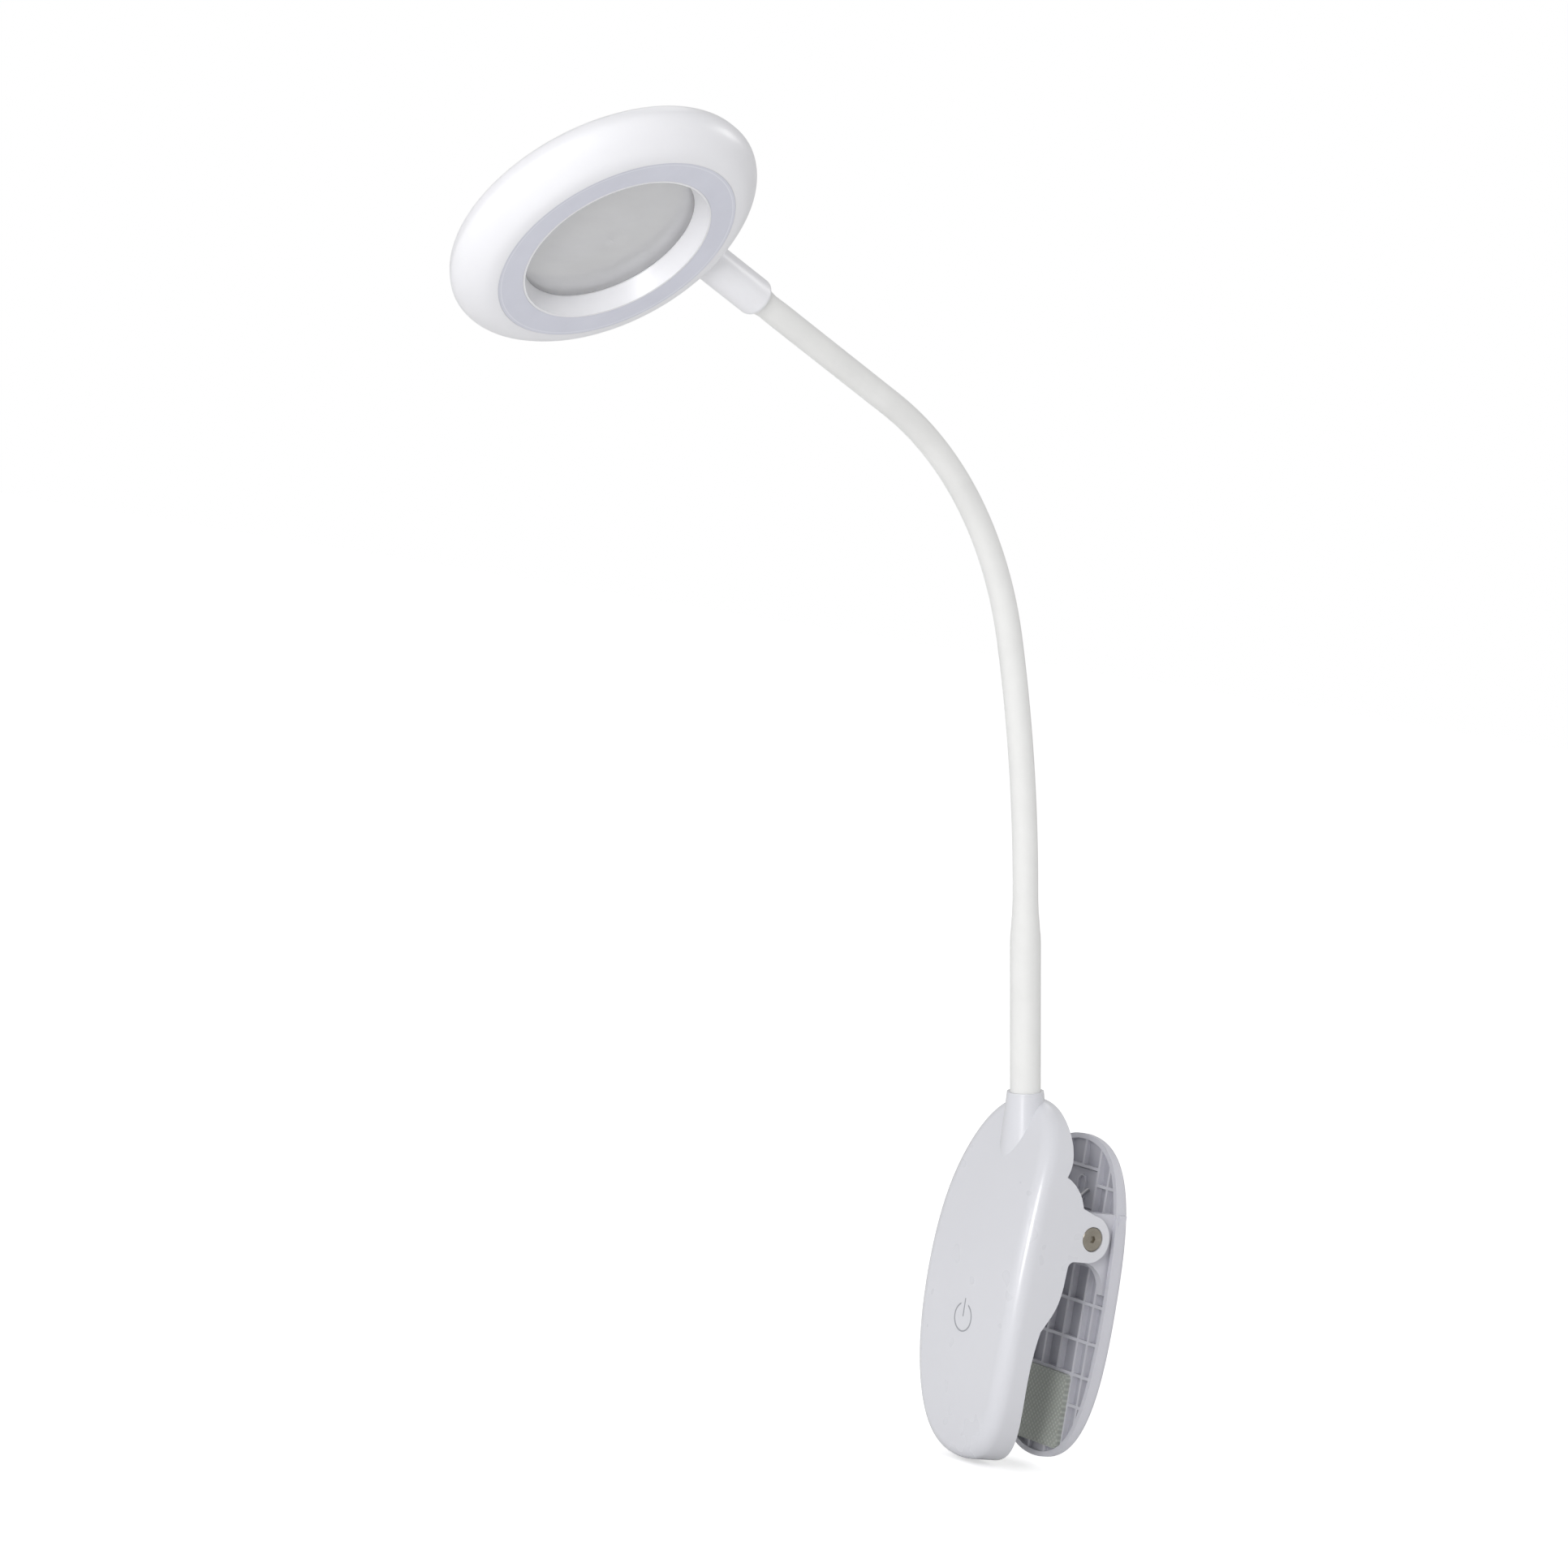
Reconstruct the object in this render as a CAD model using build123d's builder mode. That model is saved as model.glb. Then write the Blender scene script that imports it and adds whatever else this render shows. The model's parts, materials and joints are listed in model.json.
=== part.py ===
from build123d import *
import os
from math import cos, radians, sin

# Clip-on magnifying lamp: a ring light with a lens, a gooseneck and a sprung two-jaw clip.
# Millimetres. +Z runs up the clip, -Y is the clip's front, +X runs along the hinge pin.
# The drawing below is centred on the middle of the hinge pin. The finished pieces are shifted so that
# the origin is the middle of the front grip pad's face, where the clip rests against what it holds.

os.makedirs("parts", exist_ok=True)

# ---- clip ----
outline_fullness = 0.73
wall = 2.0
shell_half_width = 24.0
shell_top = 37.0
shell_bottom = -70.0
shell_edge_radius = 4.5
jaw_half_width = 23.0
jaw_top = 27.9
jaw_bottom = -68.0
jaw_rim_y = 9.0
jaw_floor_y = 11.8
seat_top_y = 10.9
jaw_edge_radius = 1.8
jaw_wall = 1.5
rib_top_y = 9.8
rib_thickness = 0.9
ear_reach = 6.0
ear_height = 6.9
lug_inner_x = 17.4
lug_outer_x = 20.2
boss_radius = 5.6
pin_radius = 1.5
pin_head_radius = 3.5
pin_head_height = 0.9
pin_head_floor_x = 22.4
pin_recess_radius = 1.1
snug_gap = 0.02
running_gap = 0.06
upper_ribs = (-13.4, -8.0, 0.0, 8.0, 13.4)
lower_ribs = (-16.2, -11.4, -3.8, 3.8, 11.4, 16.2)
hinge_rib_high = 5.8
hinge_rib_low = -9.5
window_high = 18.5
lug_radius = 7.1
spring_wire = 1.3
spring_radius = 3.4
spring_pitch = 1.5
spring_turns = 5.25
pad_half_width = 11.2
pad_low = -64.0
pad_high = -42.0
pad_middle = (pad_low + pad_high) / 2
rear_pad_y = 8.4
front_pad_y = -8.5

cover_thickness = 1.5
screw_radius = 1.0
screw_spots = ((-15, -32, -15.5), (15, -32, -15.5), (-15, 21, -10.4), (15, 21, -10.4))
socket_y = -18.9
socket_z = -40.0
socket_depth = 2.7
socket_length = 7.6
bulge_low = 17.0
bulge_low_y = -19.2
bulge_radius = 8.0
symbol_z = -29.0
symbol_radius = 4.1
symbol_line = 0.42
symbol_thickness = 0.05

# ---- neck ----
neck_exit = (0, -15.5, 39.5)
neck_lean = 11.5
neck_turn = 12.0
neck_radius = 3.7
ferrule_end_radius = 4.5
core_radius = 2.4
ferrule_radius = 3.5
bore_radius = 2.5
straight_length = 59.0
gentle_radius = 401.0
gentle_angle = 10.5
tight_radius = 105.0
tight_angle = 48.0
neck_root = 14.0
sleeve_root = 6.0
ferrule_end = 44.5
sleeve_taper_end = 57.0
first_bend = 64.0
bend_spacing = 36.0
bend_count = 6
ball_radius = 3.6
cup_gap = 0.06
cup_start = 1.9
stem_mouth = 281.0
plug_length = 9.0
plug_radius = 3.6

# ---- head ----
head_roll = 45.4
stem_droop = 17.3
stem_reach = 18.5
stem_crossing_radius = 48.0
stem_side_offset = -5.5
stem_radius = 5.4
ring_radius = 43.7
ring_face = 7.5
parting_height = -3.6
light_outer_radius = 34.0
light_inner_radius = 27.0
lens_radius = 25.2
lens_top = 1.8
lens_edge = 1.6
lens_bulge = 2.6
led_count = 24
light_seat = 5.9
board_height = -1.2
head_screw_circle = 36.0
stem_length = 24.0


def clip_outline(half_width, bottom, top):
    """Return a clip outline as a sketch: four quarters, fuller than an ellipse's, centred on x = 0."""
    middle = (top + bottom) / 2
    with BuildSketch() as outline:
        with BuildLine():
            for tip in (bottom, top):
                for side in (-half_width, half_width):
                    Bezier(
                        (0, tip),
                        (side * outline_fullness, tip),
                        (side, middle + (tip - middle) * outline_fullness),
                        (side, middle),
                    )
        make_face()
    return outline.sketch


def save(name, part):
    """Shift a finished piece to the part's origin, label it and write it to its own STEP file."""
    part = part.moved(Location((0, -front_pad_y, -pad_middle)))
    part.label = name
    export_step(part, f"parts/{name}.step")


# ================= front half of the clip =================

# front face of the shell, seen from the side, as (y, z) from top to bottom
face_line = [(-13.6, 37.4), (-16.4, 29), (-21.3, 11), (-24.2, -18), (-22.8, -50), (-19.6, -70.6)]
inner_face_line = [(y + wall, z) for y, z in face_line]

# room inside the front shell
with BuildPart() as shell_room:
    with BuildSketch(Plane.XZ.offset(-10)):
        add(clip_outline(shell_half_width - wall, shell_bottom + wall, shell_top - wall))
    extrude(amount=40)
    with BuildSketch(Plane.YZ.offset(-shell_half_width)):
        with BuildLine():
            inner_face = Spline(*inner_face_line)
            Polyline(inner_face @ 1, (10, face_line[-1][1]), (10, face_line[0][1]), inner_face @ 0)
        make_face()
    extrude(amount=2 * shell_half_width, mode=Mode.INTERSECT)
    fillet(shell_room.faces().sort_by(Axis.Y)[0].edges(), radius=shell_edge_radius - wall)

# centre line of the neck: straight, a gentle bend, a tighter bend, straight
lean_up = Vector(0, -sin(radians(neck_lean)), cos(radians(neck_lean)))
neck_plane = Plane(
    origin=neck_exit,
    x_dir=lean_up,
    z_dir=Vector(1, 0, 0).rotate(Axis((0, 0, 0), lean_up), neck_turn),
)
with BuildLine(neck_plane) as neck_path:
    lower_run = Line((-neck_root, 0), (straight_length, 0))
    gentle_bend = JernArc(lower_run @ 1, lower_run % 1, gentle_radius, gentle_angle)
    tight_bend = JernArc(gentle_bend @ 1, gentle_bend % 1, tight_radius, tight_angle)
    upper_run = Line(tight_bend @ 1, tight_bend @ 1 + (tight_bend % 1) * 100)
neck_wire = neck_path.wires()[0]


def neck_section(distance):
    """Plane across the neck, this far above the collar, with its x axis square to the bends."""
    along = distance + neck_root
    return Plane(
        origin=neck_wire.position_at(along, position_mode=PositionMode.LENGTH),
        x_dir=neck_plane.z_dir,
        z_dir=neck_wire.tangent_at(along, position_mode=PositionMode.LENGTH),
    )


def neck_tube(radius, start, end):
    """Return a round rod that follows the neck between two distances above the collar."""
    first = neck_section(start)
    last = neck_section(end)
    is_straight = first.z_dir.get_angle(last.z_dir) < 0.01
    with BuildPart() as tube:
        with BuildSketch(first):
            Circle(radius)
        if is_straight:
            extrude(amount=end - start)
        else:
            with BuildLine():
                Spline(first.origin, last.origin, tangents=[first.z_dir, last.z_dir])
            sweep()
    return tube.part


with BuildPart() as front_shell:
    with BuildSketch(Plane.XZ.offset(-10)):
        add(clip_outline(shell_half_width, shell_bottom, shell_top))
    extrude(amount=40)
    # side view: front face, low rim, skirt, ear, bump and high rim
    with BuildSketch(Plane.YZ.offset(-shell_half_width - 1)):
        with BuildLine():
            face = Spline(*face_line)
            foot = Line(face @ 1, (-7.6, face_line[-1][1]))
            low_rim = Spline(foot @ 1, (-11.6, -57), (-14.2, -36), (-13.3, -28))
            skirt = Spline(low_rim @ 1, (-9.2, -20.5), (-7.8, -12), tangents=[(0.6, 1), (0.05, 1)])
            skirt_end = Line(skirt @ 1, (-7.6, -9.2))
            web = ThreePointArc(skirt_end @ 1, (-7.0, -7.6), (-5.4, -ear_height))
            ear_low = Line(web @ 1, (-0.9, -ear_height))
            ear_end = ThreePointArc(ear_low @ 1, (ear_reach, 0), (0, ear_height))
            notch = Line(ear_end @ 1, (-4.4, 8.6))
            bump = ThreePointArc(notch @ 1, (-6.6, 13.6), (-10.9, 17))
            high_rim = Spline(bump @ 1, (-9.0, 21), (-8.6, 29), (-9.2, face_line[0][1]))
            Line(high_rim @ 1, face @ 0)
        make_face()
    extrude(amount=2 * shell_half_width + 2, mode=Mode.INTERSECT)
    fillet(front_shell.faces().sort_by(Axis.Y)[0].edges(), radius=shell_edge_radius)
    # tunnel bulge that carries the neck out of the top
    with BuildSketch(neck_section(-1)):
        Circle(ferrule_end_radius + 0.9)
    with BuildSketch(Plane.XY.offset(bulge_low)):
        with Locations((0, bulge_radius + bulge_low_y)):
            Circle(bulge_radius)
    loft()
    add(shell_room.part, mode=Mode.SUBTRACT)
    # posts for the cover screws
    for x, z, cover_y in screw_spots:
        with BuildSketch(Plane.XZ.offset(cover_thickness + 0.6 - cover_y)):
            with Locations((x, z)):
                Circle(2.4)
                Circle(screw_radius + 0.1, mode=Mode.SUBTRACT)
        extrude(until=Until.NEXT)
    # opening for the charging socket
    with BuildSketch(Plane.YZ.offset(-shell_half_width - 1)):
        with Locations((socket_y, socket_z)):
            RectangleRounded(socket_depth + 0.3, socket_length + 0.3, 0.9)
    extrude(amount=5, mode=Mode.SUBTRACT)
    # bosses that thicken the ears round the hinge pin
    for side in (-1, 1):
        with BuildSketch(Plane.YZ.offset(side * (lug_outer_x + 0.25))):
            Circle(boss_radius)
        extrude(amount=side * 2.2)
        with BuildSketch(Plane.YZ.offset(side * pin_head_floor_x)):
            Circle(pin_head_radius + 0.15)
        extrude(amount=side * 3, mode=Mode.SUBTRACT)
    with BuildSketch(Plane.YZ.offset(-shell_half_width)):
        Circle(pin_radius + snug_gap)
    extrude(amount=2 * shell_half_width, mode=Mode.SUBTRACT)
    # neck hole through the collar
    with BuildSketch(neck_section(-neck_root)):
        Circle(ferrule_end_radius + 0.05)
    extrude(amount=neck_root + 1, mode=Mode.SUBTRACT)


save("front_shell", front_shell.part)

# plate that closes the shell, set in behind the rims; its middle line as (y, z)
cover_line = [(-10.6, 36), (-10.4, 20), (-9.6, 9), (-9.8, -12), (-12.6, -22), (-15.4, -30), (-15.7, -38), (-15.2, -48),
              (-13.0, -58), (-11.0, -68)]
pad_boss_y = front_pad_y - 1.2
with BuildPart() as front_inner_cover:
    with BuildSketch(Plane.XZ.offset(-10)):
        add(clip_outline(shell_half_width - wall - 0.1, shell_bottom + wall + 0.1, shell_top - wall - 0.1))
    extrude(amount=40)
    with BuildSketch(Plane.YZ.offset(-shell_half_width)):
        with BuildLine():
            outside = Spline(*cover_line)
            inside = Spline(*[(y - cover_thickness, z) for y, z in cover_line])
            Line(outside @ 0, inside @ 0)
            Line(outside @ 1, inside @ 1)
        make_face()
    extrude(amount=2 * shell_half_width, mode=Mode.INTERSECT)
    # raised seat under the grip pad
    with BuildSketch(Plane.XZ.offset(-pad_boss_y)):
        with Locations((0, pad_middle)):
            RectangleRounded(2 * pad_half_width, pad_high - pad_low, 2)
    extrude(amount=4.5)
    add(shell_room.part, mode=Mode.INTERSECT)
    # screw holes
    with BuildSketch(Plane.XZ.offset(8)):
        for x, z, _ in screw_spots:
            with Locations((x, z)):
                Circle(screw_radius + 0.15)
    extrude(amount=12, mode=Mode.SUBTRACT)
    # room for the neck where it leans back towards the cover
    with BuildSketch(neck_section(-neck_root)):
        Circle(ferrule_end_radius + 2.2)
    extrude(amount=neck_root + 1, mode=Mode.SUBTRACT)
save("front_inner_cover", front_inner_cover.part)

with BuildPart() as front_grip_pad:
    with BuildSketch(Plane.XZ.offset(-front_pad_y)):
        with Locations((0, pad_middle)):
            RectangleRounded(2 * pad_half_width - 0.6, pad_high - pad_low - 0.6, 1.8)
    extrude(amount=front_pad_y - pad_boss_y)
save("front_grip_pad", front_grip_pad.part)

# ================= rear jaw =================

back_line = [(12.0, 28.4), (13.4, 12), (13.8, -18), (13.4, -50), (12.0, -68.5)]

# pockets between the ribs of the rear jaw
with BuildPart() as jaw_pockets:
    with BuildSketch(Plane.XZ.offset(-jaw_rim_y)):
        add(clip_outline(jaw_half_width - jaw_wall, jaw_bottom + jaw_wall, jaw_top - jaw_wall))
    extrude(amount=jaw_rim_y - jaw_floor_y)
    with BuildSketch(Plane.YZ.offset(-jaw_half_width)):
        with BuildLine():
            floor = Spline(*[(y - jaw_wall, z) for y, z in back_line])
            Polyline(floor @ 1, (jaw_rim_y - 1, back_line[-1][1]), (jaw_rim_y - 1, back_line[0][1]), floor @ 0)
        make_face()
    extrude(amount=2 * jaw_half_width, mode=Mode.INTERSECT)
    with BuildSketch(Plane.XZ.offset(-rib_top_y)):
        for x in upper_ribs:
            with Locations((x, (jaw_top + hinge_rib_high) / 2)):
                Rectangle(rib_thickness, jaw_top - hinge_rib_high)
        for x in lower_ribs:
            with Locations((x, (jaw_bottom + hinge_rib_low) / 2)):
                Rectangle(rib_thickness, hinge_rib_low - jaw_bottom)
        for z in (hinge_rib_high, hinge_rib_low, -20.3, -31.4, -41.5):
            with Locations((0, z)):
                Rectangle(2 * jaw_half_width, rib_thickness)
        for side in (-1, 1):
            with Locations((side * 15.5, 14), (side * 16, -50.5)):
                Rectangle(15, rib_thickness)
        # the spring window stays clear of ribs, and the grip pad gets a solid seat
        with Locations((0, (window_high + hinge_rib_high) / 2)):
            Rectangle(16 - rib_thickness, window_high - hinge_rib_high - rib_thickness, mode=Mode.SUBTRACT)
        with Locations((0, window_high)):
            Rectangle(16, rib_thickness)
        with Locations((0, pad_middle)):
            Rectangle(2 * pad_half_width + rib_thickness, pad_high - pad_low)
    extrude(amount=rib_top_y - jaw_floor_y - 1, mode=Mode.SUBTRACT)

with BuildPart() as rear_jaw:
    with BuildSketch(Plane.XZ.offset(-jaw_rim_y)):
        add(clip_outline(jaw_half_width, jaw_bottom, jaw_top))
    extrude(amount=-10)
    with BuildSketch(Plane.YZ.offset(-jaw_half_width - 1)):
        with BuildLine():
            back = Spline(*back_line)
            Polyline(back @ 1, (jaw_rim_y - 1, back_line[-1][1]), (jaw_rim_y - 1, back_line[0][1]), back @ 0)
        make_face()
    extrude(amount=2 * jaw_half_width + 2, mode=Mode.INTERSECT)
    fillet(rear_jaw.faces().sort_by(Axis.Y)[-1].edges(), radius=jaw_edge_radius)
    add(jaw_pockets.part, mode=Mode.SUBTRACT)
    # hinge lugs
    for side in (-1, 1):
        with BuildSketch(Plane.YZ.offset(side * lug_inner_x)):
            with BuildLine():
                lug_top = Line((jaw_floor_y + 0.3, lug_radius + 0.4), (0, lug_radius))
                lug_end = ThreePointArc(lug_top @ 1, (-lug_radius, 0), (0, -lug_radius))
                web_arc = ThreePointArc(lug_end @ 1, (6.5, -10.2), (jaw_rim_y, -16.5))
                Polyline(web_arc @ 1, (jaw_floor_y + 0.3, -17), lug_top @ 0)
            make_face()
        extrude(amount=side * (lug_outer_x - lug_inner_x))
        with BuildSketch(Plane.YZ.offset(side * lug_inner_x)):
            with Locations(((jaw_rim_y + jaw_floor_y) / 2 + 0.8, -4.6)):
                Rectangle(jaw_floor_y - jaw_rim_y - 0.4, 24)
        extrude(amount=side * 4.2)
    with BuildSketch(Plane.YZ.offset(-jaw_half_width)):
        Circle(pin_radius + running_gap)
    extrude(amount=2 * jaw_half_width, mode=Mode.SUBTRACT)
save("rear_jaw", rear_jaw.part)

with BuildPart() as rear_grip_pad:
    with BuildSketch(Plane.XZ.offset(-rear_pad_y)):
        with Locations((0, pad_middle)):
            RectangleRounded(2 * pad_half_width, pad_high - pad_low, 1.5)
        add(clip_outline(jaw_half_width - jaw_wall - 0.1, jaw_bottom + jaw_wall + 0.1, jaw_top - jaw_wall), mode=Mode.INTERSECT)
    extrude(amount=rear_pad_y - rib_top_y)
save("rear_grip_pad", rear_grip_pad.part)

window_middle = (window_high + hinge_rib_high) / 2
with BuildPart() as spring_seat:
    with BuildSketch(Plane.XZ.offset(-seat_top_y)):
        with Locations((0, window_middle)):
            Rectangle(14.4, window_high - hinge_rib_high - 1.6)
    extrude(amount=-2)
    with BuildSketch(Plane.XZ.offset(-seat_top_y)):
        with Locations((0, window_middle - 0.4)):
            SlotCenterToCenter(4.6, 4, rotation=90)
        with Locations((0, window_middle - 0.4)):
            SlotCenterToCenter(4.6, 3, rotation=90, mode=Mode.SUBTRACT)
    extrude(amount=0.6)
    add(jaw_pockets.part, mode=Mode.INTERSECT)
save("spring_seat", spring_seat.part)

# ================= hinge =================

with BuildPart() as hinge_pin:
    with BuildSketch(Plane.YZ.offset(pin_head_floor_x)):
        Circle(pin_head_radius)
    extrude(amount=pin_head_height)
    chamfer(hinge_pin.faces().sort_by(Axis.X)[-1].edges(), length=0.2)
    with BuildSketch(Plane.YZ.offset(-pin_head_floor_x - 0.5)):
        Circle(pin_radius)
    extrude(amount=2 * pin_head_floor_x + 0.5)
    with BuildSketch(Plane.YZ.offset(pin_head_floor_x + pin_head_height)):
        RegularPolygon(pin_recess_radius, 6)
    extrude(amount=-0.7, mode=Mode.SUBTRACT)
save("hinge_pin", hinge_pin.part)

with BuildPart() as hinge_pin_cap:
    with BuildSketch(Plane.YZ.offset(-pin_head_floor_x)):
        Circle(pin_head_radius)
    extrude(amount=-pin_head_height)
    chamfer(hinge_pin_cap.faces().sort_by(Axis.X)[0].edges(), length=0.2)
    with BuildSketch(Plane.YZ.offset(-pin_head_floor_x)):
        Circle(pin_radius + snug_gap)
    extrude(amount=-0.6, mode=Mode.SUBTRACT)
save("hinge_pin_cap", hinge_pin_cap.part)

# torsion spring: a coil round the pin with one leg on each half of the clip
coil_half_length = spring_turns * spring_pitch / 2
front_leg_end = (-coil_half_length, -8.85, 9.0)
rear_leg_end = (coil_half_length, seat_top_y - spring_wire / 2 - 0.05, 12.0)
with BuildPart() as torsion_spring:
    with BuildLine() as coil_path:
        coil = Helix(
            pitch=spring_pitch,
            height=2 * coil_half_length,
            radius=spring_radius,
            center=(-coil_half_length, 0, 0),
            direction=(1, 0, 0),
        )
    with BuildSketch(Plane(origin=coil @ 0, z_dir=coil % 0)):
        Circle(spring_wire / 2)
    sweep(path=coil_path.line)
    for end, leg_end in ((0, front_leg_end), (1, rear_leg_end)):
        leg_start = coil @ end
        leg = Vector(*leg_end) - leg_start
        with BuildSketch(Plane(origin=leg_start, z_dir=leg)):
            Circle(spring_wire / 2)
        extrude(amount=leg.length)
        with Locations(leg_start):
            Sphere(spring_wire / 2)
save("torsion_spring", torsion_spring.part)

# ================= small pieces inside the front shell =================

with BuildPart() as cover_screws:
    for x, z, cover_y in screw_spots:
        with BuildSketch(Plane.XZ.offset(-cover_y - 1.25)):
            with Locations((x, z)):
                Circle(1.8)
        extrude(amount=1.0)
        with BuildSketch(Plane.XZ.offset(-cover_y - 0.25)):
            with Locations((x, z)):
                Circle(screw_radius)
        extrude(amount=5.0)
        with BuildSketch(Plane.XZ.offset(-cover_y - 1.25)):
            with Locations((x, z)):
                Rectangle(2.0, 0.45)
                Rectangle(0.45, 2.0)
        extrude(amount=0.5, mode=Mode.SUBTRACT)
save("cover_screws", cover_screws.part)

with BuildPart() as control_board:
    with BuildSketch(Plane.XZ.offset(19.4)):
        with Locations((0, -37)):
            RectangleRounded(24, 22, 1)
    extrude(amount=1.0)
    with BuildSketch(Plane.XZ.offset(18.0)):
        with Locations((-4, -36)):
            Rectangle(6, 6)
        with Locations((6, -40), (6, -33)):
            Rectangle(3.2, 1.8)
    extrude(amount=1.4)
save("control_board", control_board.part)

with BuildPart() as battery:
    with BuildSketch(Plane.XZ.offset(12.2)):
        RectangleRounded(25, 28, 1.5)
    extrude(amount=6.0)
    fillet(battery.edges().filter_by(GeomType.LINE).group_by(Axis.Y)[0], radius=0.5)
save("battery", battery.part)

with BuildPart() as charging_socket:
    with BuildSketch(Plane.YZ.offset(-shell_half_width + 1.0)):
        with Locations((socket_y, socket_z)):
            RectangleRounded(socket_depth, socket_length, 0.8)
            RectangleRounded(socket_depth - 0.7, socket_length - 0.7, 0.5, mode=Mode.SUBTRACT)
    extrude(amount=5.2)
    with BuildSketch(Plane.YZ.offset(-shell_half_width + 5.2)):
        with Locations((socket_y, socket_z)):
            RectangleRounded(socket_depth, socket_length, 0.8)
    extrude(amount=1.0)
    with BuildSketch(Plane.YZ.offset(-shell_half_width + 2.0)):
        with Locations((socket_y, socket_z)):
            Rectangle(0.7, socket_length - 3)
    extrude(amount=3.4)
save("charging_socket", charging_socket.part)


def face_layer(first_offset, last_offset):
    """Return a thin layer that follows the shell's front face between two depths behind it."""
    with BuildPart() as layer:
        with BuildSketch(Plane.YZ.offset(-shell_half_width)):
            with BuildLine():
                near = Spline(*[(y + first_offset, z) for y, z in face_line])
                far = Spline(*[(y + last_offset, z) for y, z in face_line])
                Line(near @ 0, far @ 0)
                Line(near @ 1, far @ 1)
            make_face()
        extrude(amount=2 * shell_half_width)
    return layer.part


with BuildPart() as power_symbol:
    with BuildSketch(Plane.XZ.offset(20)):
        with Locations((0, symbol_z)):
            Circle(symbol_radius + symbol_line / 2)
            Circle(symbol_radius - symbol_line / 2, mode=Mode.SUBTRACT)
        with Locations((0, symbol_z + symbol_radius)):
            Rectangle(3.6, 2.4, mode=Mode.SUBTRACT)
        with Locations((0, symbol_z + 2.9)):
            SlotOverall(5.4, symbol_line, rotation=90)
    extrude(amount=8)
    add(face_layer(-symbol_thickness, 0), mode=Mode.INTERSECT)
save("power_symbol", power_symbol.part)

with BuildPart() as touch_electrode:
    with BuildSketch(Plane.XZ.offset(14)):
        with Locations((0, symbol_z)):
            Circle(5.5)
    extrude(amount=12)
    add(face_layer(wall + 0.05, wall + 0.35), mode=Mode.INTERSECT)
save("touch_electrode", touch_electrode.part)

with BuildPart() as neck_clamp:
    with BuildSketch(Plane.XY.offset(26.5)):
        with Locations((0, -11.3)):
            RectangleRounded(10.4, 4.5, 1)
    extrude(amount=5.5)
    with BuildSketch(neck_section(-neck_root)):
        Circle(ferrule_radius + 0.05)
    extrude(amount=neck_root, mode=Mode.SUBTRACT)
save("neck_clamp", neck_clamp.part)

# ================= neck =================

with BuildPart() as neck_base_sleeve:
    with BuildSketch(neck_section(-sleeve_root)):
        Circle(ferrule_end_radius)
    extrude(amount=sleeve_root + ferrule_end)
    with BuildSketch(neck_section(ferrule_end)):
        Circle(ferrule_end_radius)
    with BuildSketch(neck_section(sleeve_taper_end)):
        Circle(neck_radius)
    loft()
    add(neck_tube(neck_radius, sleeve_taper_end, first_bend))
    with BuildSketch(neck_section(-sleeve_root)):
        Circle(ferrule_radius + 0.02)
    extrude(amount=sleeve_root + ferrule_end - 2, mode=Mode.SUBTRACT)
    with BuildSketch(neck_section(ferrule_end - 2)):
        Circle(bore_radius)
    extrude(amount=sleeve_taper_end - ferrule_end - 2, mode=Mode.SUBTRACT)
    with Locations(neck_section(first_bend).origin):
        Sphere(ball_radius)
save("neck_base_sleeve", neck_base_sleeve.part)

with BuildPart() as neck_ferrule:
    with BuildSketch(neck_section(-neck_root)):
        Circle(ferrule_radius)
        Circle(bore_radius, mode=Mode.SUBTRACT)
    extrude(amount=neck_root + ferrule_end - 2)
save("neck_ferrule", neck_ferrule.part)

with BuildPart() as neck_base_core:
    with BuildSketch(neck_section(1 - neck_root)):
        Circle(core_radius)
        Circle(core_radius - 0.8, mode=Mode.SUBTRACT)
    extrude(amount=neck_root - 1 + sleeve_taper_end - 4)
save("neck_base_core", neck_base_core.part)

bend_stations = [first_bend + bend_spacing * count for count in range(bend_count)]
for number, start in enumerate(bend_stations, 1):
    is_last = number == bend_count
    end = stem_mouth if is_last else start + bend_spacing
    with BuildPart() as neck_sleeve:
        add(neck_tube(neck_radius, start + cup_start, end))
        if is_last:
            # flare, then the plug that turns in the head's stem
            with BuildSketch(neck_section(end - 5)):
                Circle(neck_radius)
            with BuildSketch(neck_section(end)):
                Circle(neck_radius + 0.35)
            loft()
            with BuildSketch(neck_section(end)):
                Circle(plug_radius)
            extrude(amount=plug_length)
        add(neck_tube(bore_radius, start + cup_start, end - (0 if is_last else 5)), mode=Mode.SUBTRACT)
        with Locations(neck_section(start).origin):
            Sphere(ball_radius + cup_gap, mode=Mode.SUBTRACT)
        if not is_last:
            with Locations(neck_section(end).origin):
                Sphere(ball_radius)
    save(f"neck_sleeve_{number}", neck_sleeve.part)

    with BuildPart() as neck_core:
        add(neck_tube(core_radius, start + 4.2, end - (0.5 if is_last else 5.2)))
        add(neck_tube(core_radius - 0.8, start + 4.2, end - (0.5 if is_last else 5.2)), mode=Mode.SUBTRACT)
    save(f"neck_core_{number}", neck_core.part)

# ================= head =================

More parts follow.
